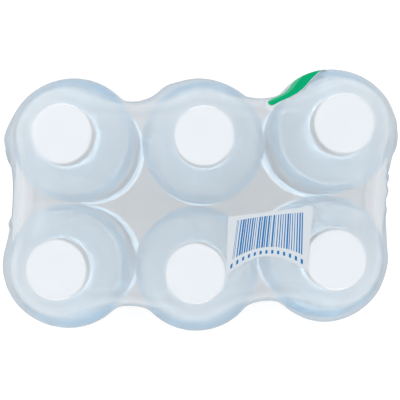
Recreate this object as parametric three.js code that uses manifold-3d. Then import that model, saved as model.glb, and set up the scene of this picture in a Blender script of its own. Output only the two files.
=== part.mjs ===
// A shrink-wrapped pack of six water bottles: two rows of three clear bottles with white screw caps,
// held together by one taut sleeve of clear film that is open in an oval at each end.
// Millimetres, +Z up. The origin is on the floor under the middle of the pack.
import * as THREE from "three";
import { mergeVertices } from "three/addons/utils/BufferGeometryUtils.js";
import Module from "manifold-3d";

const wasm = await Module();
wasm.setup();

// Layout of the pack. The rows and columns have slipped a little against each other.
const PITCH_X = 65.5;
const PITCH_Y = 63.8;
const ROW_SLIP = 1.3;
const COLUMN_SLIP = [-1.6, -2.5, 2.5];
const COLUMN_NAMES = ["left", "middle", "right"];
const ROW_NAMES = ["front", "back"];

// One bottle. Heights are above the bottle's own foot.
const SIDES = 16;
const BODY_RADIUS = 31.6;
const WALL = 0.7;
const FOOT_RADIUS = 28;
const FOOT_INNER_RADIUS = 23;
const FOOT_ROUNDING = 6;
const PUSH_UP = 6;
const RIB_HEIGHTS = [22, 34, 46];
const RIB_HALF_WIDTH = 3.2;
const RIB_DEPTH = 1.4;
const LABEL_BOTTOM = 58;
const LABEL_TOP = 118;
const LABEL_RECESS = 1;
const LABEL_THICKNESS = 0.4;
const LABEL_GAP = 0.3;
const STEP_RUN = 2;
const BODY_TOP = 136;
const CREASE_RADIUS = 28;
const CREASE_HEIGHT = 146;
const DOME_TOP = 182;
const DOME_POWER = 1.6;
const DOME_STEPS = 4;
const NECK_RADIUS = 12.6;
const NECK_WALL = 1.6;
const SUPPORT_RADIUS = 16;
const SUPPORT_BOTTOM = 184;
const SUPPORT_TOP = 186;
const MOUTH_HEIGHT = 200;

// The water fills the dome and ends in the neck, under the cap.
const WATER_GAP = 0.3;
const WATER_LEVEL = 190;

// Screw cap with its tamper band.
const CAP_RADIUS = 14.2;
const CAP_BOTTOM = 187;
const CAP_TOP = 203;
const CAP_PLATE = 2;
const CAP_WALL = 1.2;
const CAP_EDGE = 0.8;
const BAND_HEIGHT = 3.4;
const BAND_PROUD = 0.5;

// Shrink film. It runs in straight lines from the caps to the bodies, and sinks in between the bottles.
// It is gathered at the two ends of the pack, so it stands off a little there.
const FILM_THICKNESS = 0.4;
const FILM_GAP = 0.3;
const VALLEY_RADIUS_BODY = 15;
const VALLEY_RADIUS_TOP = 100;
const END_RADIUS_BODY = 115;
const END_RADIUS_TOP = 130;
const END_SLACK = 1.6;
const CORNER_STEPS = 8;
const MIDDLE_STEPS = 5;
const VALLEY_STEPS = 5;
const END_STEPS = 4;
const SLOPE_STEPS = 3;
// The flats between the points of a round arc lie nearer to its axis, so its points stand out by this much.
const FLAT_ALLOWANCE = 1 / Math.cos(Math.PI / 18);

// Oval opening that the shrunk sleeve leaves in each end of the pack.
const EYE_HALF_WIDTH = 27;
const EYE_HALF_HEIGHT = 48;
const EYE_HEIGHT = 85;
const EYE_STEPS = 24;
const EYE_REACH = 40;

const BOTTLE_BASE = FILM_THICKNESS + FILM_GAP;
const PACK_HALF_LENGTH = PITCH_X + ROW_SLIP + BODY_RADIUS;

const materials = {
  bottle: new THREE.MeshStandardMaterial({
    color: 0xc6dae6,
    roughness: 0.12,
    metalness: 0,
    transparent: true,
    opacity: 0.45,
  }),
  water: new THREE.MeshStandardMaterial({
    color: 0xdcebf2,
    roughness: 0.02,
    metalness: 0,
    transparent: true,
    opacity: 0.3,
  }),
  cap: new THREE.MeshStandardMaterial({ color: 0xeef1f4, roughness: 0.45, metalness: 0 }),
  label: new THREE.MeshStandardMaterial({ color: 0x8fb8dc, roughness: 0.5, metalness: 0 }),
  film: new THREE.MeshStandardMaterial({
    color: 0xe6e9ec,
    roughness: 0.2,
    metalness: 0,
    transparent: true,
    opacity: 0.25,
  }),
};

// Turns a list of [radius, height] into a solid of revolution about +Z.
function turned(profile) {
  const points = profile.map(([radius, height]) => new THREE.Vector2(radius, height));
  return new THREE.LatheGeometry(points, SIDES).rotateX(Math.PI / 2);
}

// Dome of the shoulder from the crease up to the neck, moved inwards by inset.
function dome(inset, neckRadius) {
  const points = [];
  for (let i = 0; i <= DOME_STEPS; i++) {
    const rise = i / DOME_STEPS;
    const narrowing = (CREASE_RADIUS - neckRadius - inset) * rise ** DOME_POWER;
    points.push([CREASE_RADIUS - inset - narrowing, CREASE_HEIGHT + (DOME_TOP - CREASE_HEIGHT) * rise]);
  }
  return points;
}

// Straight inside of the bottle from its floor to the crease. It passes clear of the ribs and the label recess.
function inside(inset) {
  const radius = BODY_RADIUS - RIB_DEPTH - inset;
  return [
    [0, PUSH_UP + inset],
    [FOOT_INNER_RADIUS, inset],
    [FOOT_RADIUS - inset, inset],
    [radius, FOOT_ROUNDING + inset],
    [radius, BODY_TOP - inset],
  ];
}

function bottleGeometry() {
  const ribs = RIB_HEIGHTS.flatMap((height) => [
    [BODY_RADIUS, height - RIB_HALF_WIDTH],
    [BODY_RADIUS - RIB_DEPTH, height],
    [BODY_RADIUS, height + RIB_HALF_WIDTH],
  ]);
  const outer = [
    [0, PUSH_UP],
    [FOOT_INNER_RADIUS, 0],
    [FOOT_RADIUS, 0],
    [BODY_RADIUS, FOOT_ROUNDING],
    ...ribs,
    [BODY_RADIUS, LABEL_BOTTOM - STEP_RUN],
    [BODY_RADIUS - LABEL_RECESS, LABEL_BOTTOM],
    [BODY_RADIUS - LABEL_RECESS, LABEL_TOP],
    [BODY_RADIUS, LABEL_TOP + STEP_RUN],
    [BODY_RADIUS, BODY_TOP],
    ...dome(0, NECK_RADIUS),
    [NECK_RADIUS, SUPPORT_BOTTOM],
    [SUPPORT_RADIUS, SUPPORT_BOTTOM],
    [SUPPORT_RADIUS, SUPPORT_TOP],
    [NECK_RADIUS, SUPPORT_TOP],
    [NECK_RADIUS, MOUTH_HEIGHT],
  ];
  const inner = [...inside(WALL), ...dome(WALL, NECK_RADIUS - NECK_WALL), [NECK_RADIUS - NECK_WALL, MOUTH_HEIGHT]];
  return turned([...outer, ...inner.reverse()]);
}

function waterGeometry() {
  const inset = WALL + WATER_GAP;
  const neckRadius = NECK_RADIUS - NECK_WALL - WATER_GAP;
  return turned([
    ...inside(inset),
    ...dome(inset, neckRadius),
    [neckRadius, WATER_LEVEL],
    [0, WATER_LEVEL],
  ]);
}

function capGeometry() {
  const inner = CAP_RADIUS - CAP_WALL;
  return turned([
    [0, CAP_TOP - CAP_PLATE],
    [inner, CAP_TOP - CAP_PLATE],
    [inner, CAP_BOTTOM],
    [CAP_RADIUS + BAND_PROUD, CAP_BOTTOM],
    [CAP_RADIUS + BAND_PROUD, CAP_BOTTOM + BAND_HEIGHT],
    [CAP_RADIUS, CAP_BOTTOM + BAND_HEIGHT],
    [CAP_RADIUS, CAP_TOP - CAP_EDGE],
    [CAP_RADIUS - CAP_EDGE, CAP_TOP],
    [0, CAP_TOP],
  ]);
}

function labelGeometry() {
  const inner = BODY_RADIUS - LABEL_RECESS + LABEL_GAP;
  const bottom = LABEL_BOTTOM + LABEL_GAP;
  const top = LABEL_TOP - LABEL_GAP;
  return turned([
    [inner, bottom],
    [inner + LABEL_THICKNESS, bottom],
    [inner + LABEL_THICKNESS, top],
    [inner, top],
    [inner, bottom],
  ]);
}

// Place of a bottle's axis on the floor.
function axisOf(column, row) {
  const side = row === 0 ? -1 : 1;
  return new THREE.Vector2(
    (column - 1) * PITCH_X + side * ROW_SLIP,
    (side * PITCH_Y) / 2 + COLUMN_SLIP[column],
  );
}

// The axes in the order in which the film passes them, counter-clockwise from above.
const filmOrder = [
  [0, 0],
  [1, 0],
  [2, 0],
  [2, 1],
  [1, 1],
  [0, 1],
];
const filmAxes = filmOrder.map(([column, row]) => axisOf(column, row));
const isEndSpan = filmOrder.map(([column], i) => column === filmOrder[(i + 1) % filmOrder.length][0]);

// Centre of the hollow arc that the film makes between two bottles.
function valleyCentre(from, to, reach) {
  const across = to.clone().sub(from);
  const half = across.length() / 2;
  const outward = new THREE.Vector2(across.y, -across.x).normalize();
  const middle = from.clone().add(to).multiplyScalar(0.5);
  return middle.addScaledVector(outward, Math.sqrt(reach * reach - half * half));
}

// Points from one angle to another about a centre, without the last one.
function arc(centre, radius, start, sweep, steps) {
  return Array.from({ length: steps }, (_, i) => {
    const angle = start + (sweep * i) / steps;
    return new THREE.Vector2(centre.x + radius * Math.cos(angle), centre.y + radius * Math.sin(angle));
  });
}

// Moves a point of the film outwards by the slack, which grows from the end bottles' axes to the pack's ends.
function withSlack(point) {
  const past = Math.max(0, Math.abs(point.x) - PITCH_X - ROW_SLIP);
  point.x += (Math.sign(point.x) * END_SLACK * past) / BODY_RADIUS;
  return point;
}

const angleTo = (from, to) => Math.atan2(to.y - from.y, to.x - from.x);
const turnOf = (angle) => THREE.MathUtils.euclideanModulo(angle, 2 * Math.PI);

// Level outline of the film: round arcs about the bottles, joined by hollow arcs between them.
function filmOutline(radius, valleyRadius, endRadius) {
  const hollow = isEndSpan.map((end) => (end ? endRadius : valleyRadius));
  const count = filmAxes.length;
  const centres = filmAxes.map((axis, i) =>
    valleyCentre(axis, filmAxes[(i + 1) % count], radius + hollow[i]),
  );
  const points = filmAxes.flatMap((axis, i) => {
    const before = centres[(i + count - 1) % count];
    const next = filmAxes[(i + 1) % count];
    const start = angleTo(axis, before);
    const end = angleTo(axis, centres[i]);
    const corner = isEndSpan[i] || isEndSpan[(i + count - 1) % count];
    const hollowStart = angleTo(centres[i], axis);
    const hollowSweep = turnOf(hollowStart - angleTo(centres[i], next));
    return [
      ...arc(axis, radius, start, turnOf(end - start), corner ? CORNER_STEPS : MIDDLE_STEPS),
      ...arc(centres[i], hollow[i], hollowStart, -hollowSweep, isEndSpan[i] ? END_STEPS : VALLEY_STEPS),
    ];
  });
  return points.map(withSlack);
}

// Outlines of one face of the film from the floor to the caps, moved outwards by offset.
function filmLevels(offset, bottom, top) {
  const level = (height, radius, valleyRadius, endRadius) => {
    const grown = (radius + offset) * FLAT_ALLOWANCE;
    const growth = grown - radius;
    return { height, outline: filmOutline(grown, valleyRadius - growth, endRadius - growth) };
  };
  const foot = FOOT_RADIUS + 2 * FILM_GAP;
  const footInset = BODY_RADIUS - foot;
  const levels = [
    level(bottom, foot, VALLEY_RADIUS_BODY + footInset, END_RADIUS_BODY + footInset),
    level(BOTTLE_BASE + FOOT_ROUNDING, BODY_RADIUS, VALLEY_RADIUS_BODY, END_RADIUS_BODY),
  ];
  for (let i = 0; i <= SLOPE_STEPS; i++) {
    const share = i / SLOPE_STEPS;
    const mix = (low, high) => low + (high - low) * share;
    levels.push(
      level(
        mix(BOTTLE_BASE + BODY_TOP + FILM_GAP, top),
        mix(BODY_RADIUS, CAP_RADIUS),
        mix(VALLEY_RADIUS_BODY, VALLEY_RADIUS_TOP),
        mix(END_RADIUS_BODY, END_RADIUS_TOP),
      ),
    );
  }
  return levels;
}

// Closed surface through level outlines that all have the same number of points.
function loft(levels) {
  const count = levels[0].outline.length;
  const positions = levels.flatMap(({ height, outline }) => outline.flatMap((p) => [p.x, p.y, height]));
  const indices = [];
  for (let i = 0; i + 1 < levels.length; i++) {
    for (let j = 0; j < count; j++) {
      const a = i * count + j;
      const b = i * count + ((j + 1) % count);
      indices.push(a, b, b + count, a, b + count, a + count);
    }
  }
  const last = (levels.length - 1) * count;
  for (const [a, b, c] of THREE.ShapeUtils.triangulateShape(levels[0].outline, [])) {
    indices.push(c, b, a);
  }
  for (const [a, b, c] of THREE.ShapeUtils.triangulateShape(levels[levels.length - 1].outline, [])) {
    indices.push(last + a, last + b, last + c);
  }
  const geometry = new THREE.BufferGeometry();
  geometry.setAttribute("position", new THREE.Float32BufferAttribute(positions, 3));
  geometry.setIndex(indices);
  return geometry;
}

function solidOf(geometry) {
  const bare = geometry.clone();
  bare.deleteAttribute("normal");
  bare.deleteAttribute("uv");
  const merged = mergeVertices(bare);
  return new wasm.Manifold(
    new wasm.Mesh({
      numProp: 3,
      vertProperties: merged.attributes.position.array,
      triVerts: new Uint32Array(merged.index.array),
    }),
  );
}

function geometryOf(solid) {
  const mesh = solid.getMesh();
  const geometry = new THREE.BufferGeometry();
  geometry.setAttribute("position", new THREE.BufferAttribute(mesh.vertProperties, 3));
  geometry.setIndex(new THREE.BufferAttribute(mesh.triVerts, 1));
  geometry.computeVertexNormals();
  return geometry;
}

// Cutter for the oval opening in one end. side is -1 at the left and 1 at the right.
function eyeCutter(side) {
  const column = side < 0 ? 0 : 2;
  const oval = new THREE.Shape();
  oval.absellipse(COLUMN_SLIP[column], EYE_HEIGHT, EYE_HALF_WIDTH, EYE_HALF_HEIGHT, 0, 2 * Math.PI, false, 0);
  const cutter = new THREE.ExtrudeGeometry(oval, {
    depth: EYE_REACH,
    bevelEnabled: false,
    curveSegments: EYE_STEPS,
  });
  cutter.rotateX(Math.PI / 2).rotateZ(Math.PI / 2);
  return cutter.translate(side * PACK_HALF_LENGTH - EYE_REACH / 2, 0, 0);
}

function filmGeometry() {
  const capTop = BOTTLE_BASE + CAP_TOP + FILM_GAP;
  const outer = solidOf(loft(filmLevels(FILM_GAP + FILM_THICKNESS, 0, capTop + FILM_THICKNESS)));
  const inner = solidOf(loft(filmLevels(FILM_GAP, FILM_THICKNESS, capTop)));
  const sleeve = outer.subtract(inner);
  return geometryOf(sleeve.subtract(solidOf(eyeCutter(-1))).subtract(solidOf(eyeCutter(1))));
}

function named(name, geometry, material) {
  const mesh = new THREE.Mesh(geometry, material);
  mesh.name = name;
  return mesh;
}

const bottle = bottleGeometry();
const water = waterGeometry();
const cap = capGeometry();
const label = labelGeometry();

// One filled bottle with its cap and label, standing on the film.
function filledBottle(column, row) {
  const place = `${ROW_NAMES[row]}_${COLUMN_NAMES[column]}`;
  const group = new THREE.Group();
  group.add(named(`bottle_${place}`, bottle, materials.bottle));
  group.add(named(`water_${place}`, water, materials.water));
  group.add(named(`cap_${place}`, cap, materials.cap));
  group.add(named(`label_${place}`, label, materials.label));
  const axis = axisOf(column, row);
  group.position.set(axis.x, axis.y, BOTTLE_BASE);
  return group;
}

const pack = new THREE.Group();
for (const [column, row] of filmOrder) {
  pack.add(filledBottle(column, row));
}
pack.add(named("film", filmGeometry(), materials.film));

export default pack;
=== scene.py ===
"""Looks of a shrink-wrapped pack of water bottles, dressed over its solid frame."""
import math
import random

import bpy
import numpy as np
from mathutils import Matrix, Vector
from mathutils.bvhtree import BVHTree


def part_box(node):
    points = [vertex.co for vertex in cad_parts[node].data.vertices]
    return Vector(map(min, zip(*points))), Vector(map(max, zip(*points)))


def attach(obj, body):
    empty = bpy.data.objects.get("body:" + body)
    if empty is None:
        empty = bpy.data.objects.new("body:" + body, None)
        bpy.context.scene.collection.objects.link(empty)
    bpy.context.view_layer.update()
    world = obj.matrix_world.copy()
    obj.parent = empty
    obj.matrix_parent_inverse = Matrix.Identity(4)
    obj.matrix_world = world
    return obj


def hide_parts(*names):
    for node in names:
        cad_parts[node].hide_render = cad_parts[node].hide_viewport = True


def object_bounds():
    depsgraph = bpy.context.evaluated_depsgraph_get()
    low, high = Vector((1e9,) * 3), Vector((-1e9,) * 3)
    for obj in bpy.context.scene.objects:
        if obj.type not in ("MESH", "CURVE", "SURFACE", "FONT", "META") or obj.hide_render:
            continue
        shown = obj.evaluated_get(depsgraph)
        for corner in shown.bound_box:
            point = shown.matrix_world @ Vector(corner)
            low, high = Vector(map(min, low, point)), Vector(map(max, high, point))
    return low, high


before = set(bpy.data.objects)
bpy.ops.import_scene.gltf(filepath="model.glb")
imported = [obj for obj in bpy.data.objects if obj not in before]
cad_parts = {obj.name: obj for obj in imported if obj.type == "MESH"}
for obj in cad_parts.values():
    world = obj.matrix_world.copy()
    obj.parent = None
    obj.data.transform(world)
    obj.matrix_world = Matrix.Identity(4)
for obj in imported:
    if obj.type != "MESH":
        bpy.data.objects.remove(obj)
cad_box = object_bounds()

# Sizes are in millimetres. Meshes are made in millimetres and stored in metres.
MM = 0.001
CAD_TOP = cad_box[1].z / MM
ROWS = ("front", "back")
COLUMNS = ("left", "middle", "right")
PLACES = [f"{row}_{column}" for row in ROWS for column in COLUMNS]

# How far each cap has shifted sideways and back, as the film pulls the bottles out of the upright.
LEAN = {
    "front_left": (-0.2, 0.0),
    "front_middle": (-0.5, -0.8),
    "front_right": (-0.2, 0.6),
    "back_left": (-0.3, 0.1),
    "back_middle": (1.0, 0.0),
    "back_right": (1.2, 0.8),
}

# Bottle. Heights are above the bottle's own foot.
BOTTLE_SIDES = 96
BODY_RADIUS = 31.6
WALL = 0.4
PUSH_UP = 6
FOOT_INNER_RADIUS = 23
FOOT_RADIUS = 28
FOOT_ROUNDING = 6
PETALS = 6
PETAL_DEPTH = 1.8
PETAL_REACH = (9, 31)
PETAL_HEIGHT = 9
RIB_HEIGHTS = (22, 34, 46)
RIB_DEPTH = 1.4
RIB_HALF_WIDTH = 3.4
HOOP_HEIGHT = 127.5
HOOP_DEPTH = 0.7
HOOP_HALF_WIDTH = 2.4
LABEL_BOTTOM = 58
LABEL_TOP = 118
LABEL_RECESS = 1
STEP_RUN = 2
BODY_TOP = 136
CREASE_RADIUS = 28
CREASE_HEIGHT = 146
DOME_TOP = 182
DOME_POWER = 1.6
DOME_STEPS = 18
NECK_RADIUS = 12.6
NECK_WALL = 1.6
SUPPORT_RADIUS = 14.7
SUPPORT_BOTTOM = 184
SUPPORT_TOP = 186
MOUTH_HEIGHT = 200
WATER_LEVEL = 190

# Screw cap with its ribbed skirt and tamper band.
CAP_SIDES = 360
CAP_RIBS = 90
CAP_RIB_DEPTH = 0.55
CAP_RADIUS = 14.5
CAP_BOTTOM = 187
CAP_TOP = 203
CAP_PLATE = 2
CAP_WALL = 1.2
CAP_EDGE = 0.25
CAP_DISH = 0.15
BAND_TOP = 190.4
BAND_PROUD = 0.2
GATE_RADIUS = 1.1

# Label sleeve in the recess of the body.
LABEL_GAP = 0.05
LABEL_THICKNESS = 0.14
LABEL_SEAM = 0.12
LABEL_SEAM_ANGLE = 0.25
LABEL_WAVES = 3
LABEL_WAVE_HEIGHT = 6

# Film. Heights are above the floor.
FILM_RADIUS = BODY_RADIUS + 0.9
FILM_CAP_RADIUS = CAP_RADIUS + 3.9
FILM_FOOT_RADIUS = FOOT_RADIUS + 0.8
FILM_FOOT_INNER_RADIUS = FOOT_RADIUS - 4
FILM_FLOOR = 0.2
FILM_CLEAR_HEIGHT = 115
FILM_SHOULDER = 137.2
FILM_SHOULDER_EASE = 6
FILM_RIM = CAD_TOP - 0.35
FILM_RIM_EASE = 8
FILM_RIM_FLAT = 16.6
VALLEY_RADIUS_BODY = 15
VALLEY_RADIUS_TOP = 75
END_RADIUS_BODY = 115
END_RADIUS_TOP = 130
END_SLACK = {-1: 1.8, 1: 1.7}
CORNER_STEPS = 56
MIDDLE_STEPS = 24
VALLEY_STEPS = 30
END_STEPS = 48
LEVEL_STEP = 3
LID_RINGS = 18
LID_SPINE = 52
LID_SPINE_END = 60
SAG = 2.5
SAG_REACH = 26
SAG_HEIGHTS = (FILM_SHOULDER + 15, CAD_TOP - 1)
LOOSE_SPOTS = (
    {"at": (-22, 55), "push": (0, 3.6), "reach": 10},
    {"at": (-6, 64), "push": (0, 1.2), "reach": 14},
    {"at": (-100, 31), "push": (-2.2, 0), "reach": 8},
    {"at": (97, -34), "push": (-1.4, 0), "reach": 14},
    {"at": (66, -64), "push": (0, -1.4), "reach": 22},
)
LOOSE_HEIGHT = 35
EYE_HALF_WIDTH = 27
EYE_HALF_HEIGHT = 48
EYE_HEIGHT = 85
EYE_BEAD = 0.35
GATHER_START = 82
GATHER_FULL = 98
GATHER_HAZE = 0.3
PLEATS = 34
PLEAT_DEPTH = 1.3
PLEAT_DEPTH_SHARES = (-0.35, 1)
PLEAT_WIDTHS = (0.025, 0.07)
PLEAT_START = 1.1
PLEAT_FADE = 2.5
PLEAT_PAST_COLUMN = (8, 24)

# Print on the film: a white panel with bars on the top and front, and a green oval on the back.
PANEL_TOP_LEFT = (13.4, -8.7)
PANEL_TOP_RIGHT = (53.5, -3.6)
PANEL_BOTTOM_SIDES = (12.5, 50.2)
PANEL_ARCH_TOP = (32.5, -27.2)
PANEL_ARCH_FALL = 0.023
PANEL_COLUMNS = 72
PANEL_ROWS = 48
PANEL_CAST_FROM = 50
PANEL_BARS = 35
PANEL_BAR_SHARES = (0.22, 0.78)
PANEL_BLOCK = {"across": (0.1, 0.9), "down": (0.09, 0.79)}
PANEL_DASHES = 15
PANEL_DASH_SHARE = (0.28, 0.66)
PANEL_DASH_ROW = {"across": (0.06, 0.94), "down": (0.86, 0.935)}
PANEL_FAN_TOP = 0.95
PANEL_FAN_GROWTH = 0.15
OVAL_CENTRE = (49.5, 95)
OVAL_HALF_LENGTH = 49.5
OVAL_HALF_WIDTH = 7.4
OVAL_TILT = math.radians(-70)
OVAL_FACING = math.radians(35)
OVAL_RINGS = 20
OVAL_SPOKES = 96
OVAL_CAST_FROM = 300
PRINT_LIFT = 0.12

# Camera above the pack and the point that it looks at, on the caps.
CAMERA_AT = (0.33, -8.3, 885)
CAMERA_AIM = (0.33, -0.76, 203)
CAMERA_LENS = 131
EXPOSURE = 0.08

# Floor that glows evenly, and by its own amount under the pack.
FLOOR_HALF_SIZE = 4000
FLOOR_GLOW = 0.66
FLOOR_GLOW_UNDER = 0.72
FLOOR_GLOW_HALF_SIZE = (78, 40)
FLOOR_GLOW_RUN = 16

# One large soft lamp overhead, and small round lamps on the floor under the bottles.
SOFTBOX_SIZE = 1200
SOFTBOX_POWER = 4
SOFTBOX_AT = (-800, 700, 1600)
SOFTBOX_AIM = (0, 0, 100)
GLOW_RADIUS = 25
GLOW_HEIGHT = 0.1
GLOW_POWER = 0.022
GLOW_SPREAD = 170


# Small helpers for outlines and meshes

def rounded(corners, steps=4):
    """Points through (across, up, ease) corners, each corner eased over that length on both sides."""
    points = []
    for i, (across, up, ease) in enumerate(corners):
        here = np.array((across, up), float)
        if ease == 0 or i in (0, len(corners) - 1):
            points.append(here)
            continue
        back = np.array(corners[i - 1][:2], float) - here
        ahead = np.array(corners[i + 1][:2], float) - here
        reach = min(ease, 0.48 * np.linalg.norm(back), 0.48 * np.linalg.norm(ahead))
        start = here + back / np.linalg.norm(back) * reach
        stop = here + ahead / np.linalg.norm(ahead) * reach
        for t in np.linspace(0, 1, steps + 1):
            points.append((1 - t) ** 2 * start + 2 * t * (1 - t) * here + t ** 2 * stop)
    return np.array(points)


def split(points, step):
    """The same polyline with no stretch longer than step."""
    made = [points[0]]
    for a, b in zip(points, points[1:]):
        count = max(1, math.ceil(np.linalg.norm(b - a) / step))
        made.extend(a + (b - a) * (k + 1) / count for k in range(count))
    return np.array(made)


def inset(points, distance):
    """A profile moved inwards, towards the left of its direction."""
    along = np.gradient(points, axis=0)
    along /= np.linalg.norm(along, axis=1)[:, None]
    moved = points + distance * np.stack((-along[:, 1], along[:, 0]), axis=1)
    moved[points[:, 0] == 0, 0] = 0
    return moved


def turned(profile, sides, shape=None, closed=False):
    """Points and faces of a profile of (radius, height) turned about the Z axis."""
    angles = np.arange(sides) * 2 * math.pi / sides
    points, rings, faces = [], [], []
    for radius, height in profile:
        if radius == 0:
            rings.append([len(points)])
            points.append((0, 0, height))
            continue
        radii = np.full(sides, float(radius))
        heights = np.full(sides, float(height))
        if shape:
            radii, heights = shape(radii, heights, angles)
        rings.append(list(range(len(points), len(points) + sides)))
        points.extend(zip(radii * np.cos(angles), radii * np.sin(angles), heights))
    if closed:
        rings.append(rings[0])
    for low, high in zip(rings, rings[1:]):
        for i in range(sides):
            j = (i + 1) % sides
            corners = (low[i % len(low)], low[j % len(low)], high[j % len(high)], high[i % len(high)])
            faces.append(tuple(dict.fromkeys(corners)))
    return points, faces


def smooth_mesh(name, points, faces, material, sharp=35):
    """A smooth mesh in metres from points in millimetres, with edges over sharp degrees kept crisp."""
    mesh = bpy.data.meshes.new(name)
    mesh.from_pydata((np.array(points) * MM).tolist(), [], faces)
    mesh.polygons.foreach_set("use_smooth", [True] * len(mesh.polygons))
    mesh.set_sharp_from_angle(angle=math.radians(sharp))
    mesh.materials.append(material)
    return mesh


def piece(name, mesh, replaced, at=(0, 0, 0), lean=(0, 0), turn=0):
    """A finished piece of the pack, riding on its one body."""
    obj = bpy.data.objects.new(name, mesh)
    obj.location = at
    obj.rotation_mode = "ZYX"
    obj.rotation_euler = (-lean[1] / CAP_TOP, lean[0] / CAP_TOP, turn)
    bpy.context.scene.collection.objects.link(obj)
    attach(obj, "root")
    if replaced:
        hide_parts(replaced)
    return obj


def mix_between(value, low, high):
    """Smooth step of value from 0 at low to 1 at high."""
    t = np.clip((np.asarray(value, float) - low) / (high - low), 0, 1)
    return t * t * (3 - 2 * t)


# Materials

def new_material(name):
    """A material with the nodes, links and main shader that its maker needs."""
    material = bpy.data.materials.new(name)
    material.use_nodes = True
    nodes = material.node_tree.nodes
    return material, nodes, material.node_tree.links, nodes["Principled BSDF"]


def fine_bump(nodes, links, shader, scale, strength, distance):
    """Uneven surface from fine noise in the piece's own space."""
    place = nodes.new("ShaderNodeTexCoord")
    noise = nodes.new("ShaderNodeTexNoise")
    noise.inputs["Scale"].default_value = scale
    noise.inputs["Detail"].default_value = 3
    bump = nodes.new("ShaderNodeBump")
    bump.inputs["Strength"].default_value = strength
    bump.inputs["Distance"].default_value = distance
    links.new(place.outputs["Object"], noise.inputs["Vector"])
    links.new(noise.outputs["Fac"], bump.inputs["Height"])
    links.new(bump.outputs["Normal"], shader.inputs["Normal"])


def ramp(nodes, stops):
    """Colour ramp from (place, colour) stops."""
    node = nodes.new("ShaderNodeValToRGB")
    elements = node.color_ramp.elements
    while len(elements) < len(stops):
        elements.new(0.5)
    for element, (place, colour) in zip(elements, stops):
        element.position = place
        element.color = (*colour, 1)
    return node


def maths(nodes, links, operation, first, second=None):
    """One arithmetic step on a socket and a socket or a number."""
    node = nodes.new("ShaderNodeMath")
    node.operation = operation
    for socket, value in zip(node.inputs, (first, second)):
        if isinstance(value, bpy.types.NodeSocket):
            links.new(value, socket)
        elif value is not None:
            socket.default_value = value
    return node.outputs[0]


def bottle_material():
    """Clear plastic, bluer at the thick neck, with painted shade as darker blue bands below the label and
    where the shoulder bends in.
    """
    material, nodes, links, shader = new_material("bottle_plastic")
    position = nodes.new("ShaderNodeTexCoord")
    parts = nodes.new("ShaderNodeSeparateXYZ")
    share = nodes.new("ShaderNodeMapRange")
    share.inputs["From Max"].default_value = DOME_TOP * MM
    # The ribbed wall, ledge and shoulder bend colours are painted shade: darker blue bands that dim what is
    # seen through the wall there.
    clear, ribbed_wall_painted_shade, ledge_painted_shade = (0.94, 0.965, 0.98), (0.68, 0.77, 0.84), (0.42, 0.60, 0.74)
    bend_painted_shade, neck = (0.48, 0.74, 0.91), (0.76, 0.84, 0.89)
    tint_and_painted_shade = ramp(nodes, [
        (place / DOME_TOP, colour) for place, colour in (
            (FOOT_ROUNDING, clear),
            (FOOT_ROUNDING + 6, ribbed_wall_painted_shade),
            (LABEL_BOTTOM - 7, ribbed_wall_painted_shade),
            (LABEL_BOTTOM - 3.5, ledge_painted_shade),
            (LABEL_BOTTOM, ledge_painted_shade),
            (LABEL_BOTTOM + 1.5, clear),
            (LABEL_TOP, clear),
            (BODY_TOP - 2, bend_painted_shade),
            (CREASE_HEIGHT, bend_painted_shade),
            (CREASE_HEIGHT + 4, clear),
            (DOME_TOP - 20, clear),
            (DOME_TOP - 5, neck),
        )
    ])
    links.new(position.outputs["Object"], parts.inputs["Vector"])
    links.new(parts.outputs["Z"], share.inputs["Value"])
    links.new(share.outputs["Result"], tint_and_painted_shade.inputs["Fac"])
    links.new(tint_and_painted_shade.outputs["Color"], shader.inputs["Base Color"])
    shader.inputs["Roughness"].default_value = 0.12
    shader.inputs["IOR"].default_value = 1.45
    shader.inputs["Transmission Weight"].default_value = 0.92
    fine_bump(nodes, links, shader, 90, 0.12, 0.0006)
    return material


def water_material():
    """Still water that takes a little of the red light over its depth."""
    material, nodes, links, shader = new_material("water")
    shader.inputs["Base Color"].default_value = (0.97, 0.99, 1, 1)
    shader.inputs["Roughness"].default_value = 0.02
    shader.inputs["IOR"].default_value = 1.33
    shader.inputs["Transmission Weight"].default_value = 1
    absorb = nodes.new("ShaderNodeVolumeAbsorption")
    absorb.inputs["Color"].default_value = (0.60, 0.82, 0.93, 1)
    absorb.inputs["Density"].default_value = 1.2
    links.new(absorb.outputs["Volume"], nodes["Material Output"].inputs["Volume"])
    fine_bump(nodes, links, shader, 20, 0.05, 0.0003)
    return material


def cap_material():
    """White moulded plastic, slightly translucent, with a faint grain."""
    material, nodes, links, shader = new_material("cap_plastic")
    place = nodes.new("ShaderNodeTexCoord")
    cloud = nodes.new("ShaderNodeTexNoise")
    cloud.inputs["Scale"].default_value = 120
    tone = ramp(nodes, [(0.3, (0.91, 0.92, 0.93)), (0.7, (0.94, 0.945, 0.95))])
    links.new(place.outputs["Object"], cloud.inputs["Vector"])
    links.new(cloud.outputs["Fac"], tone.inputs["Fac"])
    links.new(tone.outputs["Color"], shader.inputs["Base Color"])
    shader.inputs["Roughness"].default_value = 0.42
    shader.inputs["Subsurface Weight"].default_value = 0.15
    shader.inputs["Subsurface Radius"].default_value = (1, 1, 1)
    shader.inputs["Subsurface Scale"].default_value = 0.001
    fine_bump(nodes, links, shader, 900, 0.15, 0.0002)
    return material


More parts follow.
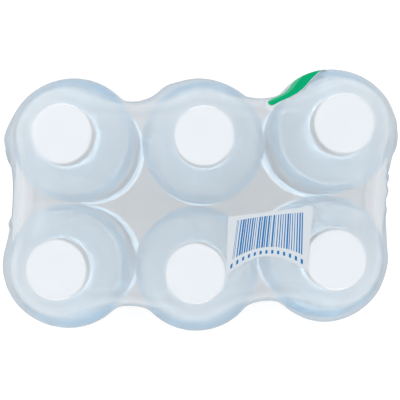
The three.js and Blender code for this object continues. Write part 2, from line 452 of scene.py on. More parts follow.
def label_material():
    """Printed label: a violet top edge, then waves of white, light blue and deep blue."""
    material, nodes, links, shader = new_material("label_print")
    place = nodes.new("ShaderNodeTexCoord")
    parts = nodes.new("ShaderNodeSeparateXYZ")
    links.new(place.outputs["Object"], parts.inputs["Vector"])
    angle = maths(nodes, links, "ARCTAN2", parts.outputs["Y"], parts.outputs["X"])
    swing = maths(nodes, links, "SINE", maths(nodes, links, "MULTIPLY", angle, LABEL_WAVES))
    wave = maths(nodes, links, "MULTIPLY", swing, LABEL_WAVE_HEIGHT * MM)
    level = maths(nodes, links, "ADD", parts.outputs["Z"], wave)
    share = nodes.new("ShaderNodeMapRange")
    share.inputs["From Min"].default_value = LABEL_BOTTOM * MM
    share.inputs["From Max"].default_value = LABEL_TOP * MM
    links.new(level, share.inputs["Value"])
    bands = ramp(nodes, [
        (0.00, (0.03, 0.10, 0.42)),
        (0.22, (0.05, 0.22, 0.62)),
        (0.24, (0.80, 0.88, 0.95)),
        (0.27, (0.12, 0.42, 0.78)),
        (0.48, (0.30, 0.62, 0.88)),
        (0.50, (0.85, 0.90, 0.95)),
        (0.86, (0.85, 0.88, 0.92)),
        (0.90, (0.20, 0.22, 0.62)),
    ])
    links.new(share.outputs["Result"], bands.inputs["Fac"])
    links.new(bands.outputs["Color"], shader.inputs["Base Color"])
    shader.inputs["Roughness"].default_value = 0.3
    fine_bump(nodes, links, shader, 400, 0.08, 0.0002)
    return material


def label_back_material():
    """White back of the label, faintly cloudy, seen through the water."""
    material, nodes, links, shader = new_material("label_back")
    place = nodes.new("ShaderNodeTexCoord")
    cloud = nodes.new("ShaderNodeTexNoise")
    cloud.inputs["Scale"].default_value = 60
    tone = ramp(nodes, [(0.3, (0.86, 0.89, 0.92)), (0.7, (0.90, 0.92, 0.94))])
    links.new(place.outputs["Object"], cloud.inputs["Vector"])
    links.new(cloud.outputs["Fac"], tone.inputs["Fac"])
    links.new(tone.outputs["Color"], shader.inputs["Base Color"])
    shader.inputs["Roughness"].default_value = 0.5
    return material


def film_tones(nodes, links, height):
    """Tint, milk tone, haze and glow of the film, which change with the height from clear to milky; the
    first two are darker at the shoulder and slope as painted shade.
    """
    rise = nodes.new("ShaderNodeMapRange")
    rise.inputs["From Min"].default_value = FILM_CLEAR_HEIGHT * MM
    rise.inputs["From Max"].default_value = CAD_TOP * MM
    links.new(height, rise.inputs["Value"])
    shoulder, slope, high, lid = 0.25, 0.62, 0.82, 0.94
    # The shoulder and slope stops of this colour and of the milk colour below are painted shade, darker
    # than the film's own colour.
    tint_and_painted_shade = ramp(nodes, [
        (0, (0.91, 0.93, 0.945)),
        (shoulder, (0.70, 0.765, 0.815)),
        (slope, (0.775, 0.83, 0.87)),
        (lid, (0.95, 0.955, 0.96)),
    ])
    milk_tone_and_painted_shade = ramp(nodes, [
        (0, (0.86, 0.89, 0.91)),
        (shoulder, (0.49, 0.575, 0.64)),
        (slope, (0.60, 0.66, 0.705)),
        (high, (0.905, 0.93, 0.95)),
    ])
    haze = ramp(nodes, [(0, [0.13] * 3), (shoulder, [0.36] * 3), (slope, [0.42] * 3), (high, [0.7] * 3)])
    through = ramp(nodes, [(slope, [0.3] * 3), (lid, [0.58] * 3)])
    tones = (tint_and_painted_shade, milk_tone_and_painted_shade, haze, through)
    for tone in tones:
        links.new(rise.outputs["Result"], tone.inputs["Fac"])
    return [tone.outputs["Color"] for tone in tones]


def gathered_haze(nodes, links, across):
    """Added haze where the film is gathered at the two ends."""
    gather = nodes.new("ShaderNodeMapRange")
    gather.interpolation_type = "SMOOTHSTEP"
    gather.inputs["From Min"].default_value = GATHER_START * MM
    gather.inputs["From Max"].default_value = GATHER_FULL * MM
    gather.inputs["To Max"].default_value = GATHER_HAZE
    links.new(maths(nodes, links, "ABSOLUTE", across), gather.inputs["Value"])
    return gather.outputs["Result"]


def mixed(nodes, links, share, first, second):
    """Two shaders mixed, with share of the second."""
    mix = nodes.new("ShaderNodeMixShader")
    links.new(share, mix.inputs["Fac"])
    links.new(first, mix.inputs[1])
    links.new(second, mix.inputs[2])
    return mix.outputs["Shader"]


def film_material():
    """Shrink film: clear down the sides, milky over the shoulders, whiter on the caps and at the ends;
    painted shade darkens its colour over the shoulders and slopes.
    """
    material, nodes, links, shader = new_material("shrink_film")
    place = nodes.new("ShaderNodeTexCoord")
    parts = nodes.new("ShaderNodeSeparateXYZ")
    links.new(place.outputs["Object"], parts.inputs["Vector"])
    tint_and_painted_shade, milk_tone_and_painted_shade, haze, through = film_tones(nodes, links, parts.outputs["Z"])
    clear = nodes.new("ShaderNodeBsdfTransparent")
    links.new(tint_and_painted_shade, clear.inputs["Color"])
    links.new(milk_tone_and_painted_shade, shader.inputs["Base Color"])
    shader.inputs["Roughness"].default_value = 0.3
    fine_bump(nodes, links, shader, 45, 0.25, 0.0008)
    glow = nodes.new("ShaderNodeBsdfTranslucent")
    links.new(milk_tone_and_painted_shade, glow.inputs["Color"])
    milk = mixed(nodes, links, through, shader.outputs["BSDF"], glow.outputs["BSDF"])
    cloudiness = maths(nodes, links, "ADD", haze, gathered_haze(nodes, links, parts.outputs["X"]))
    veil = mixed(nodes, links, cloudiness, clear.outputs["BSDF"], milk)
    gloss = nodes.new("ShaderNodeBsdfGlossy")
    gloss.inputs["Roughness"].default_value = 0.12
    facing = nodes.new("ShaderNodeLayerWeight")
    sheen = nodes.new("ShaderNodeMapRange")
    sheen.inputs["To Min"].default_value = 0.02
    sheen.inputs["To Max"].default_value = 0.15
    links.new(maths(nodes, links, "POWER", facing.outputs["Facing"], 4), sheen.inputs["Value"])
    whole = mixed(nodes, links, sheen.outputs["Result"], veil, gloss.outputs["BSDF"])
    links.new(whole, nodes["Material Output"].inputs["Surface"])
    return material


def panel_material():
    """White print with a block of upright blue bars and a row of short dashes under it."""
    material, nodes, links, shader = new_material("panel_print")
    place = nodes.new("ShaderNodeUVMap")
    parts = nodes.new("ShaderNodeSeparateXYZ")
    links.new(place.outputs["UV"], parts.inputs["Vector"])
    down = parts.outputs["Y"]
    growth = maths(nodes, links, "MULTIPLY", down, PANEL_FAN_GROWTH)
    fan = maths(nodes, links, "ADD", growth, PANEL_FAN_TOP)
    centred = maths(nodes, links, "SUBTRACT", parts.outputs["X"], 0.5)
    across = maths(nodes, links, "ADD", maths(nodes, links, "DIVIDE", centred, fan), 0.5)

    def between(value, low, high):
        """One where value lies between the limits, and zero elsewhere."""
        above = maths(nodes, links, "GREATER_THAN", value, low)
        return maths(nodes, links, "MULTIPLY", above, maths(nodes, links, "LESS_THAN", value, high))

    def field(area):
        """One inside an area of the panel, and zero elsewhere."""
        beside = between(across, *area["across"])
        return maths(nodes, links, "MULTIPLY", beside, between(down, *area["down"]))

    count = maths(nodes, links, "MULTIPLY", across, PANEL_BARS)
    chance = nodes.new("ShaderNodeTexWhiteNoise")
    chance.noise_dimensions = "1D"
    links.new(maths(nodes, links, "FLOOR", count), chance.inputs["W"])
    width = nodes.new("ShaderNodeMapRange")
    width.inputs["To Min"].default_value, width.inputs["To Max"].default_value = PANEL_BAR_SHARES
    links.new(chance.outputs["Value"], width.inputs["Value"])
    bar = maths(nodes, links, "LESS_THAN", maths(nodes, links, "FRACT", count), width.outputs["Result"])
    bars = maths(nodes, links, "MULTIPLY", bar, field(PANEL_BLOCK))
    beat = maths(nodes, links, "FRACT", maths(nodes, links, "MULTIPLY", across, PANEL_DASHES))
    dashes = maths(nodes, links, "MULTIPLY", between(beat, *PANEL_DASH_SHARE), field(PANEL_DASH_ROW))
    ink = maths(nodes, links, "MAXIMUM", bars, dashes)
    tone = ramp(nodes, [(0, (0.63, 0.67, 0.70)), (1, (0.001, 0.16, 0.42))])
    links.new(ink, tone.inputs["Fac"])
    links.new(tone.outputs["Color"], shader.inputs["Base Color"])
    shader.inputs["Roughness"].default_value = 0.35
    shader.inputs["Specular IOR Level"].default_value = 0.1
    return material


def oval_material():
    """Green print that is lighter along one long side, with a thin white border."""
    material, nodes, links, shader = new_material("oval_print")
    place = nodes.new("ShaderNodeUVMap")
    parts = nodes.new("ShaderNodeSeparateXYZ")
    links.new(place.outputs["UV"], parts.inputs["Vector"])
    tone = ramp(nodes, [(0.3, (0.08, 0.48, 0.25)), (0.36, (0.004, 0.38, 0.16))])
    links.new(parts.outputs["Y"], tone.inputs["Fac"])
    edge = ramp(nodes, [(0.92, (0, 0, 0)), (0.94, (1, 1, 1))])
    links.new(parts.outputs["X"], edge.inputs["Fac"])
    blend = nodes.new("ShaderNodeMix")
    blend.data_type = "RGBA"
    green, border, blended = blend.inputs[6], blend.inputs[7], blend.outputs[2]
    border.default_value = (0.67, 0.70, 0.72, 1)
    links.new(edge.outputs["Color"], blend.inputs["Factor"])
    links.new(tone.outputs["Color"], green)
    links.new(blended, shader.inputs["Base Color"])
    shader.inputs["Roughness"].default_value = 0.5
    shader.inputs["Specular IOR Level"].default_value = 0
    return material


def floor_material():
    """Plain pale floor with a barely uneven tone and a soft glow, strongest under the pack."""
    material, nodes, links, shader = new_material("floor")
    place = nodes.new("ShaderNodeTexCoord")
    cloud = nodes.new("ShaderNodeTexNoise")
    cloud.inputs["Scale"].default_value = 2
    tone = ramp(nodes, [(0, (0.44, 0.44, 0.44)), (1, (0.46, 0.46, 0.46))])
    links.new(place.outputs["Object"], cloud.inputs["Vector"])
    links.new(cloud.outputs["Fac"], tone.inputs["Fac"])
    links.new(tone.outputs["Color"], shader.inputs["Base Color"])
    shader.inputs["Roughness"].default_value = 0.8
    shader.inputs["Emission Color"].default_value = (1, 1, 1, 1)
    parts = nodes.new("ShaderNodeSeparateXYZ")
    links.new(place.outputs["Object"], parts.inputs["Vector"])
    outside = []
    for axis, half in zip("XY", FLOOR_GLOW_HALF_SIZE):
        reach = maths(nodes, links, "ABSOLUTE", parts.outputs[axis])
        outside.append(maths(nodes, links, "SUBTRACT", reach, half * MM))
    glow = nodes.new("ShaderNodeMapRange")
    glow.interpolation_type = "SMOOTHSTEP"
    glow.inputs["From Max"].default_value = FLOOR_GLOW_RUN * MM
    glow.inputs["To Min"].default_value = FLOOR_GLOW_UNDER
    glow.inputs["To Max"].default_value = FLOOR_GLOW
    links.new(maths(nodes, links, "MAXIMUM", *outside), glow.inputs["Value"])
    links.new(glow.outputs["Result"], shader.inputs["Emission Strength"])
    return material


# Bottle, water, cap and label

def groove(height, half_width, depth):
    """Corners of a rounded groove round the body."""
    return [
        (BODY_RADIUS, height - half_width, half_width / 3),
        (BODY_RADIUS - depth, height - half_width / 4, half_width / 3),
        (BODY_RADIUS - depth, height + half_width / 4, half_width / 3),
        (BODY_RADIUS, height + half_width, half_width / 3),
    ]


def dome():
    """Corners of the shoulder from just over the crease to the neck."""
    rises = np.arange(1, DOME_STEPS + 1) / DOME_STEPS
    radii = CREASE_RADIUS - (CREASE_RADIUS - NECK_RADIUS) * rises ** DOME_POWER
    return [(r, h, 0) for r, h in zip(radii, CREASE_HEIGHT + (DOME_TOP - CREASE_HEIGHT) * rises)]


def body_profile():
    """Outside of the bottle from the middle of its base to the foot of its neck."""
    recess = BODY_RADIUS - LABEL_RECESS
    ribs = [corner for height in RIB_HEIGHTS for corner in groove(height, RIB_HALF_WIDTH, RIB_DEPTH)]
    return rounded([
        (0, PUSH_UP, 0),
        (0.4 * FOOT_INNER_RADIUS, 0.9 * PUSH_UP, 4),
        (0.87 * FOOT_INNER_RADIUS, 0.25 * PUSH_UP, 3),
        (FOOT_INNER_RADIUS + 1, 0, 2),
        (FOOT_RADIUS, 0, 2),
        (BODY_RADIUS, FOOT_ROUNDING, 4),
        *ribs,
        (BODY_RADIUS, LABEL_BOTTOM - STEP_RUN, 0.8),
        (recess, LABEL_BOTTOM - 0.4, 0.6),
        (recess, LABEL_TOP + 0.4, 0.6),
        (BODY_RADIUS, LABEL_TOP + STEP_RUN, 0.8),
        *groove(HOOP_HEIGHT, HOOP_HALF_WIDTH, HOOP_DEPTH),
        (BODY_RADIUS, BODY_TOP, 5),
        (CREASE_RADIUS, CREASE_HEIGHT, 1.2),
        *dome(),
    ])


def petals(radii, heights, angles):
    """Lifts the grooves that part the feet of the base."""
    low, high = PETAL_REACH
    across = np.clip((radii - low) / (high - low), 0, 1)
    fade = np.clip(1 - heights / PETAL_HEIGHT, 0, 1)
    grooves = np.maximum(0, np.cos(PETALS * angles)) ** 4
    return radii, heights + PETAL_DEPTH * np.sin(math.pi * across) ** 2 * fade * grooves


def bottle_mesh(material):
    """The bottle's thin wall, from the base up to the mouth and back down inside."""
    body = body_profile()
    neck = rounded([
        (NECK_RADIUS, SUPPORT_BOTTOM - 0.5, 0),
        (NECK_RADIUS, SUPPORT_BOTTOM, 0.3),
        (SUPPORT_RADIUS, SUPPORT_BOTTOM, 0.4),
        (SUPPORT_RADIUS, SUPPORT_TOP, 0.4),
        (NECK_RADIUS, SUPPORT_TOP, 0.3),
        (NECK_RADIUS, MOUTH_HEIGHT, 0.4),
        (NECK_RADIUS - NECK_WALL, MOUTH_HEIGHT, 0.4),
        (NECK_RADIUS - NECK_WALL, DOME_TOP, 0),
    ], steps=3)
    lining = inset(body, WALL)[:-2][::-1]
    points, faces = turned(np.concatenate((body, neck, lining)), BOTTLE_SIDES, petals)
    return smooth_mesh("bottle", points, faces, material)


def water_mesh(material):
    """The water, which reaches half-way into the bottle's wall and ends in the neck."""
    neck = NECK_RADIUS - NECK_WALL + WALL / 2
    surface = [(neck, DOME_TOP + 1), (neck, WATER_LEVEL), (0, WATER_LEVEL)]
    profile = np.concatenate((inset(body_profile(), WALL / 2), surface))
    points, faces = turned(profile, BOTTLE_SIDES, petals)
    return smooth_mesh("water", points, faces, material)


def ribbed(radii, heights, angles):
    """Fine upright ribs on the skirt of the cap, from over the band to the top edge."""
    outside = radii > CAP_RADIUS - CAP_EDGE - 0.1
    skirt = outside * mix_between(heights, BAND_TOP + 0.6, BAND_TOP + 1.4)
    return radii - CAP_RIB_DEPTH * skirt * (0.5 - 0.5 * np.cos(CAP_RIBS * angles)), heights


def cap_mesh(material):
    """The screw cap with its hollow skirt, its band and a shallow dish on top."""
    inner = CAP_RADIUS - CAP_WALL
    band = CAP_RADIUS + BAND_PROUD
    profile = rounded([
        (0, CAP_TOP - CAP_PLATE, 0),
        (inner, CAP_TOP - CAP_PLATE, 0.5),
        (inner, CAP_BOTTOM, 0.2),
        (band, CAP_BOTTOM, 0.4),
        (band, BAND_TOP, 0.3),
        (CAP_RADIUS - 0.3, BAND_TOP + 0.3, 0.2),
        (CAP_RADIUS, BAND_TOP + 1.2, 0.3),
        (CAP_RADIUS, CAP_TOP - CAP_EDGE, 0.2),
        (CAP_RADIUS - CAP_EDGE, CAP_TOP, 0.2),
        (CAP_RADIUS - 2.4, CAP_TOP - CAP_DISH, 0.8),
        (2 * GATE_RADIUS, CAP_TOP - CAP_DISH, 0.5),
        (GATE_RADIUS, CAP_TOP - 2 * CAP_DISH, 0.3),
        (0, CAP_TOP - 2 * CAP_DISH, 0),
    ])
    points, faces = turned(profile, CAP_SIDES, ribbed)
    return smooth_mesh("cap", points, faces, material)


def lapped(radii, heights, angles):
    """Raises the label where its two ends lap over each other."""
    return radii + LABEL_SEAM * (angles < LABEL_SEAM_ANGLE), heights


def label_mesh(material, back):
    """The label sleeve, with its back in a material of its own."""
    inner = BODY_RADIUS - LABEL_RECESS + LABEL_GAP
    outer = inner + LABEL_THICKNESS
    profile = [(inner, LABEL_BOTTOM), (outer, LABEL_BOTTOM), (outer, LABEL_TOP), (inner, LABEL_TOP)]
    points, faces = turned(profile, BOTTLE_SIDES, lapped, closed=True)
    mesh = smooth_mesh("label", points, faces, material)
    mesh.materials.append(back)
    for face in mesh.polygons[-BOTTLE_SIDES:]:
        face.material_index = 1
    return mesh


def make_bottles():
    """The six bottles with their water, caps and labels, each turned about its own axis."""
    meshes = {
        "bottle": bottle_mesh(bottle_material()),
        "water": water_mesh(water_material()),
        "cap": cap_mesh(cap_material()),
        "label": label_mesh(label_material(), label_back_material()),
    }
    chance = random.Random(6)
    for place in PLACES:
        low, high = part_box(f"bottle_{place}")
        foot = ((low.x + high.x) / 2, (low.y + high.y) / 2, low.z)
        turn = chance.randrange(4) * math.pi / 2
        for kind, mesh in meshes.items():
            piece(f"{kind}_piece_{place}", mesh, f"{kind}_{place}", foot, LEAN[place], turn)


# Film

def axis_of(place):
    """Middle of a bottle's foot, in millimetres."""
    low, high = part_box(f"bottle_{place}")
    return np.array(((low.x + high.x) / 2, (low.y + high.y) / 2)) / MM


FILM_PLACES = ("front_left", "front_middle", "front_right", "back_right", "back_middle", "back_left")
FILM_AXES = [axis_of(place) for place in FILM_PLACES]
FILM_LEAN = np.array([LEAN[place] for place in FILM_PLACES])
FILM_SPANS = ("side", "side", "end", "side", "side", "end")
END_COLUMN_X = max(abs(axis[0]) for axis in FILM_AXES)
EYE_Y = {
    -1: (FILM_AXES[0][1] + FILM_AXES[5][1]) / 2,
    1: (FILM_AXES[2][1] + FILM_AXES[3][1]) / 2,
}


def axes_at(height):
    """Middles of the leaning bottles at a height."""
    return FILM_AXES + FILM_LEAN * height / CAP_TOP


def arc(centre, radius, start, sweep, steps):
    """Points about a centre, without the last one."""
    angles = start + sweep * np.arange(steps) / steps
    return centre + radius * np.stack((np.cos(angles), np.sin(angles)), axis=1)


def angle_to(a, b):
    """Direction from one point to another."""
    return math.atan2(b[1] - a[1], b[0] - a[0])


def film_outline(axes, radius, side_hollow, end_hollow):
    """Level outline of the film, counter-clockwise from the middle of the left end."""
    count = len(axes)
    hollow = [end_hollow if span == "end" else side_hollow for span in FILM_SPANS]
    centres = []
    for i, axis in enumerate(axes):
        across = axes[(i + 1) % count] - axis
        half = np.linalg.norm(across) / 2
        outward = np.array((across[1], -across[0])) / (2 * half)
        centres.append(axis + across / 2 + outward * math.sqrt((radius + hollow[i]) ** 2 - half ** 2))
    points = []
    for i, axis in enumerate(axes):
        start = angle_to(axis, centres[i - 1])
        sweep = (angle_to(axis, centres[i]) - start) % (2 * math.pi)
        corner = "end" in (FILM_SPANS[i], FILM_SPANS[i - 1])
        points.append(arc(axis, radius, start, sweep, CORNER_STEPS if corner else MIDDLE_STEPS))
        start = angle_to(centres[i], axis)
        sweep = (start - angle_to(centres[i], axes[(i + 1) % count])) % (2 * math.pi)
        steps = END_STEPS if FILM_SPANS[i] == "end" else VALLEY_STEPS
        points.append(arc(centres[i], hollow[i], start, -sweep, steps))
    points = np.concatenate(points)
    past = np.maximum(0, np.abs(points[:, 0]) - END_COLUMN_X)
    slack = np.where(points[:, 0] < 0, -END_SLACK[-1], END_SLACK[1])
    points[:, 0] += slack * past / BODY_RADIUS
    return np.roll(points, END_STEPS // 2, axis=0)


def film_levels():
    """Outlines of the film from under the bottles, up the sides and over the caps."""
    profile = split(rounded([
        (FILM_FOOT_INNER_RADIUS, FILM_FLOOR, 0),
        (FILM_FOOT_RADIUS, FILM_FLOOR, 2),
        (FILM_RADIUS, FOOT_ROUNDING + 1, 4),
        (FILM_RADIUS, FILM_SHOULDER, FILM_SHOULDER_EASE),
        (FILM_CAP_RADIUS, FILM_RIM, FILM_RIM_EASE),
        (FILM_CAP_RADIUS - FILM_RIM_FLAT, FILM_RIM, 0),
    ], steps=10), LEVEL_STEP)
    levels = []
    for radius, height in profile:
        inward = FILM_RADIUS - radius
        if height < FILM_SHOULDER / 2:
            side, end = VALLEY_RADIUS_BODY + inward, END_RADIUS_BODY + inward
        else:
            share = inward / (FILM_RADIUS - FILM_CAP_RADIUS)
            side = VALLEY_RADIUS_BODY + (VALLEY_RADIUS_TOP - VALLEY_RADIUS_BODY) * share
            end = END_RADIUS_BODY + (END_RADIUS_TOP - END_RADIUS_BODY) * share
        outline = film_outline(axes_at(height), radius, side, end)
        levels.append(np.column_stack((outline, np.full(len(outline), height))))
    return levels


def spine_of(rim):
    """Line along the middle of the pack that a lid closes on, a point for each facing pair of the rim."""
    count = len(rim)
    front = np.arange(count // 2 + 1)
    middle = (rim[front] + rim[-front]) / 2
    across = np.clip(middle[:, 0], -LID_SPINE, LID_SPINE)
    for side in (-1, 1):
        past = np.flatnonzero(side * middle[:, 0] >= LID_SPINE)
        spread = np.linspace(LID_SPINE_END, LID_SPINE, len(past))
        across[past] = side * (spread if side < 0 else spread[::-1])
    columns = np.array([(FILM_AXES[i] + FILM_AXES[5 - i]) / 2 for i in range(3)])
    return np.column_stack((across, np.interp(across, columns[:, 0], columns[:, 1]), middle[:, 2]))


def add_lid(points, faces, rim_start, count, flip):
    """Closes a level rim with rings that shrink to its spine, and returns the grown points."""
    rim = points[rim_start:rim_start + count]
    spine = spine_of(rim)
    facing = np.minimum(np.arange(count), count - np.arange(count))
    rings = [rim + (spine[facing] - rim) * k / LID_RINGS for k in range(1, LID_RINGS)]
    starts = [rim_start] + [len(points) + k * count for k in range(LID_RINGS - 1)]
    places = [start + np.arange(count) for start in starts]
    places.append(len(points) + (LID_RINGS - 1) * count + facing)
    for low, high in zip(places, places[1:]):
        for i in range(count):
            j = (i + 1) % count
            corners = (int(low[i]), int(low[j]), int(high[j]), int(high[i]))
            faces.append(corners[::-1] if flip else corners)
    return np.concatenate((points, *rings, spine))


def sagged(points):
    """Lets the film sink between the caps."""
    caps = axes_at(CAP_TOP)
    gaps = np.linalg.norm(points[:, None, :2] - caps[None], axis=2).min(axis=1) - CAP_RADIUS
    sink = SAG * mix_between(gaps, 0, SAG_REACH)
    points[:, 2] -= sink * mix_between(points[:, 2], *SAG_HEIGHTS)


def loosened(points):
    """Puffs the film out at its loose spots, most at the height of the shoulders."""
    level = np.exp(-(((points[:, 2] - FILM_SHOULDER) / LOOSE_HEIGHT) ** 2))
    for spot in LOOSE_SPOTS:
        away = np.linalg.norm(points[:, :2] - spot["at"], axis=1)
        points[:, :2] += np.outer(level * np.exp(-((away / spot["reach"]) ** 2)), spot["push"])


def eye_reach(points, side):
    """How far points lie from the middle of an end opening, with 1 on its edge, and at what angle."""
    across = (points[:, 1] - EYE_Y[side]) / EYE_HALF_WIDTH
    up = (points[:, 2] - EYE_HEIGHT) / EYE_HALF_HEIGHT
    return np.hypot(across, up), np.arctan2(up, across)


def pleated(points):
    """Gathers the film into pleats that run out from the oval opening of each end."""
    chance = random.Random(11)
    for side in (-1, 1):
        reach, angle = eye_reach(points, side)
        near = mix_between(side * points[:, 0] - END_COLUMN_X, *PLEAT_PAST_COLUMN)
        near *= 1 - mix_between(reach, PLEAT_START, PLEAT_FADE)
        for _ in range(PLEATS):
            centre = chance.uniform(-math.pi, math.pi)
            width = chance.uniform(*PLEAT_WIDTHS)
            depth = PLEAT_DEPTH * chance.uniform(*PLEAT_DEPTH_SHARES)
            turn = (angle - centre + math.pi) % (2 * math.pi) - math.pi
            points[:, 0] += side * depth * near * np.exp(-((turn / width) ** 2))


def film_surface():
    """Points and faces of the whole film, before the end openings are cut."""
    levels = film_levels()
    count = len(levels[0])
    faces = []
    for k in range(len(levels) - 1):
        for i in range(count):
            j = (i + 1) % count
            faces.append((k * count + i, k * count + j, (k + 1) * count + j, (k + 1) * count + i))
    points = np.concatenate(levels)
    top_start = len(points) - count
    points = add_lid(points, faces, 0, count, flip=True)
    points = add_lid(points, faces, top_start, count, flip=False)
    sagged(points)
    loosened(points)
    pleated(points)
    return points, faces


def tube(path, radius, sides=6):
    """Closed ring of a round section along a closed path in the plane of an end."""
    ahead = np.roll(path, -1, axis=0) - np.roll(path, 1, axis=0)
    ahead /= np.linalg.norm(ahead, axis=1)[:, None]
    out = np.array((1.0, 0, 0))
    beside = np.cross(ahead, out)
    beside /= np.linalg.norm(beside, axis=1)[:, None]
    points, faces = [], []
    for i, (at, side) in enumerate(zip(path, beside)):
        for k in range(sides):
            angle = 2 * math.pi * k / sides
            points.append(at + radius * (math.cos(angle) * side + math.sin(angle) * out))
            follow = (i + 1) % len(path) * sides
            turn = (k + 1) % sides
            faces.append((i * sides + k, follow + k, follow + turn, i * sides + turn))
    return np.array(points), faces


def cut_eyes(points, faces):
    """Opens the oval at each end, with the film's edge drawn onto it and rolled into a bead."""
    beads = []
    for side in (-1, 1):
        reach, angle = eye_reach(points, side)
        inside = (reach < 1) & (side * points[:, 0] > END_COLUMN_X)
        faces[:] = [face for face in faces if not all(inside[i] for i in face)]
        edge = np.array(sorted({i for face in faces for i in face if inside[i]}, key=lambda i: angle[i]))
        grow = 1 / reach[edge]
        points[edge, 1] = EYE_Y[side] + (points[edge, 1] - EYE_Y[side]) * grow
        points[edge, 2] = EYE_HEIGHT + (points[edge, 2] - EYE_HEIGHT) * grow
        beads.append(tube(points[edge], EYE_BEAD))
    for bead_points, bead_faces in beads:
        start = len(points)
        faces.extend(tuple(start + i for i in face) for face in bead_faces)
        points = np.concatenate((points, bead_points))
    used = np.unique(np.concatenate([np.array(face) for face in faces]))
    order = np.full(len(points), -1)
    order[used] = np.arange(len(used))
    return points[used], [tuple(int(order[i]) for i in face) for face in faces]


def make_film():
    """The film, and a search tree of its uncut surface for the print that lies on it."""
    points, faces = film_surface()
    tree = BVHTree.FromPolygons([Vector(p) for p in points], faces)
    points, faces = cut_eyes(points, faces)
    piece("film_piece", smooth_mesh("film", points, faces, film_material(), sharp=80), "film")
    return tree


# Print on the film

def on_film(tree, start, direction):
    """The point of the film's print side that a line from start meets."""
    place, normal, _, _ = tree.ray_cast(Vector(start), Vector(direction))
    return np.array(place + normal * PRINT_LIFT)


def print_mesh(name, points, faces, uvs, material):
    """A smooth mesh whose points carry their place in the print."""
    mesh = smooth_mesh(name, points, faces, material, sharp=80)
    layer = mesh.uv_layers.new(name="print")
    for loop in mesh.loops:
        layer.data[loop.index].uv = uvs[loop.vertex_index]
    return mesh


def panel_mesh(tree, material):
    """The white panel on the top of the film, with a straight upper edge and an arched lower one."""
    points, uvs, faces = [], [], []
    for column in range(PANEL_COLUMNS + 1):
        u = column / PANEL_COLUMNS
        top_x, top_y = (1 - u) * np.array(PANEL_TOP_LEFT) + u * np.array(PANEL_TOP_RIGHT)
        bottom_x = np.interp(u, (0, 1), PANEL_BOTTOM_SIDES)
        bottom_y = PANEL_ARCH_TOP[1] - PANEL_ARCH_FALL * (bottom_x - PANEL_ARCH_TOP[0]) ** 2
        for v in np.linspace(0, 1, PANEL_ROWS + 1):
            across = top_x + (bottom_x - top_x) * v
            back = top_y + (bottom_y - top_y) * v
            points.append(on_film(tree, (across, back, CAD_TOP + PANEL_CAST_FROM), (0, 0, -1)))
            uvs.append((u, v))
    rows = PANEL_ROWS + 1
    for column in range(PANEL_COLUMNS):
        for row in range(PANEL_ROWS):
            a = column * rows + row
            faces.append((a, a + 1, a + rows + 1, a + rows))
    return print_mesh("panel", points, faces, uvs, material)


def oval_mesh(tree, material):
    """The green oval on the back of the film, tilted along the slope of the shoulder up to the lid."""
    along = np.array((math.cos(OVAL_TILT), math.sin(OVAL_TILT)))
    beside = np.array((-along[1], along[0]))
    outward = np.array((0, math.cos(OVAL_FACING), math.sin(OVAL_FACING)))
    upward = np.array((0, -math.sin(OVAL_FACING), math.cos(OVAL_FACING)))

    def place(reach, angle):
        """Point of the film at a share of the oval's reach, which also notes its place in the print."""
        offset = OVAL_HALF_LENGTH * math.cos(angle) * along + OVAL_HALF_WIDTH * math.sin(angle) * beside
        across, up = np.array(OVAL_CENTRE) + reach * offset
        uvs.append((reach, 0.5 + 0.5 * reach * math.sin(angle)))
        return on_film(tree, (across, 0, 0) + up * upward + OVAL_CAST_FROM * outward, -outward)

    uvs, faces = [], []
    points = [place(0, 0)]
    for ring in range(1, OVAL_RINGS + 1):
        points.extend(
            place(ring / OVAL_RINGS, 2 * math.pi * spoke / OVAL_SPOKES) for spoke in range(OVAL_SPOKES)
        )
    for spoke in range(OVAL_SPOKES):
        follow = (spoke + 1) % OVAL_SPOKES
        faces.append((0, 1 + follow, 1 + spoke))
        for ring in range(OVAL_RINGS - 1):
            low = 1 + ring * OVAL_SPOKES
            high = low + OVAL_SPOKES
            faces.append((low + spoke, low + follow, high + follow, high + spoke))
    return print_mesh("oval", points, faces, uvs, material)


def make_print(tree):
    """The two printed fields that lie on the film."""
    piece("panel_piece", panel_mesh(tree, panel_material()), None)
    piece("oval_piece", oval_mesh(tree, oval_material()), None)


# Floor, light and camera

def make_floor():
    """The wide level floor that the pack stands on."""
    half = FLOOR_HALF_SIZE
    corners = [(-half, -half, 0), (half, -half, 0), (half, half, 0), (-half, half, 0)]
    mesh = smooth_mesh("floor", corners, [(0, 1, 2, 3)], floor_material())
    floor = bpy.data.objects.new("floor", mesh)
    bpy.context.scene.collection.objects.link(floor)


def lamp(name, size, power, at, aim, spread=180):
    """A round lamp that faces a point, with its light held to a cone of spread degrees."""
    light = bpy.data.lights.new(name, "AREA")
    light.shape = "DISK"
    light.size = size
    light.energy = power
    light.spread = math.radians(spread)
    obj = bpy.data.objects.new(name, light)
    obj.location = at
    obj.rotation_euler = (aim - at).to_track_quat("-Z", "Y").to_euler()
    bpy.context.scene.collection.objects.link(obj)


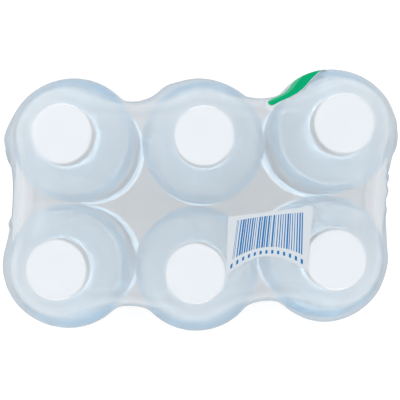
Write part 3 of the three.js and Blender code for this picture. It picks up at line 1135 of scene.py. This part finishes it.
def make_light():
    """A soft white dome that dims and cools towards the horizon, the large soft lamp and the glow lamps."""
    world = bpy.data.worlds.new("studio")
    bpy.context.scene.world = world
    world.use_nodes = True
    nodes = world.node_tree.nodes
    links = world.node_tree.links
    place = nodes.new("ShaderNodeTexCoord")
    parts = nodes.new("ShaderNodeSeparateXYZ")
    tone = ramp(nodes, [
        (0.0, (0.42, 0.52, 0.62)),
        (0.3, (0.85, 0.89, 0.93)),
        (0.7, (1.0, 1.0, 1.0)),
    ])
    links.new(place.outputs["Generated"], parts.inputs["Vector"])
    links.new(parts.outputs["Z"], tone.inputs["Fac"])
    links.new(tone.outputs["Color"], nodes["Background"].inputs["Color"])
    nodes["Background"].inputs["Strength"].default_value = 1.0
    lamp("softbox", SOFTBOX_SIZE * MM, SOFTBOX_POWER, Vector(SOFTBOX_AT) * MM, Vector(SOFTBOX_AIM) * MM)
    up = Vector((0, 0, 1))
    for name in PLACES:
        foot = Vector((*axis_of(name), GLOW_HEIGHT)) * MM
        lamp(f"glow_{name}", 2 * GLOW_RADIUS * MM, GLOW_POWER, foot, foot + up, GLOW_SPREAD)


def make_camera():
    """The camera that looks down on the caps."""
    lens = bpy.data.cameras.new("camera")
    lens.lens = CAMERA_LENS
    lens.sensor_width = 36
    lens.clip_end = 100
    camera = bpy.data.objects.new("camera", lens)
    camera.location = Vector(CAMERA_AT) * MM
    camera.rotation_euler = (Vector(CAMERA_AIM) - Vector(CAMERA_AT)).to_track_quat("-Z", "Y").to_euler()
    bpy.context.scene.collection.objects.link(camera)
    bpy.context.scene.camera = camera


def set_picture():
    """Plain tones, and enough bounces for light to pass through film, wall and water."""
    scene = bpy.context.scene
    scene.view_settings.view_transform = "Standard"
    scene.view_settings.look = "None"
    scene.view_settings.exposure = EXPOSURE
    scene.cycles.max_bounces = 24
    scene.cycles.transmission_bounces = 24
    scene.cycles.transparent_max_bounces = 24
    scene.cycles.glossy_bounces = 8
    scene.cycles.diffuse_bounces = 6


make_camera()
make_bottles()
make_print(make_film())
make_floor()
make_light()
set_picture()
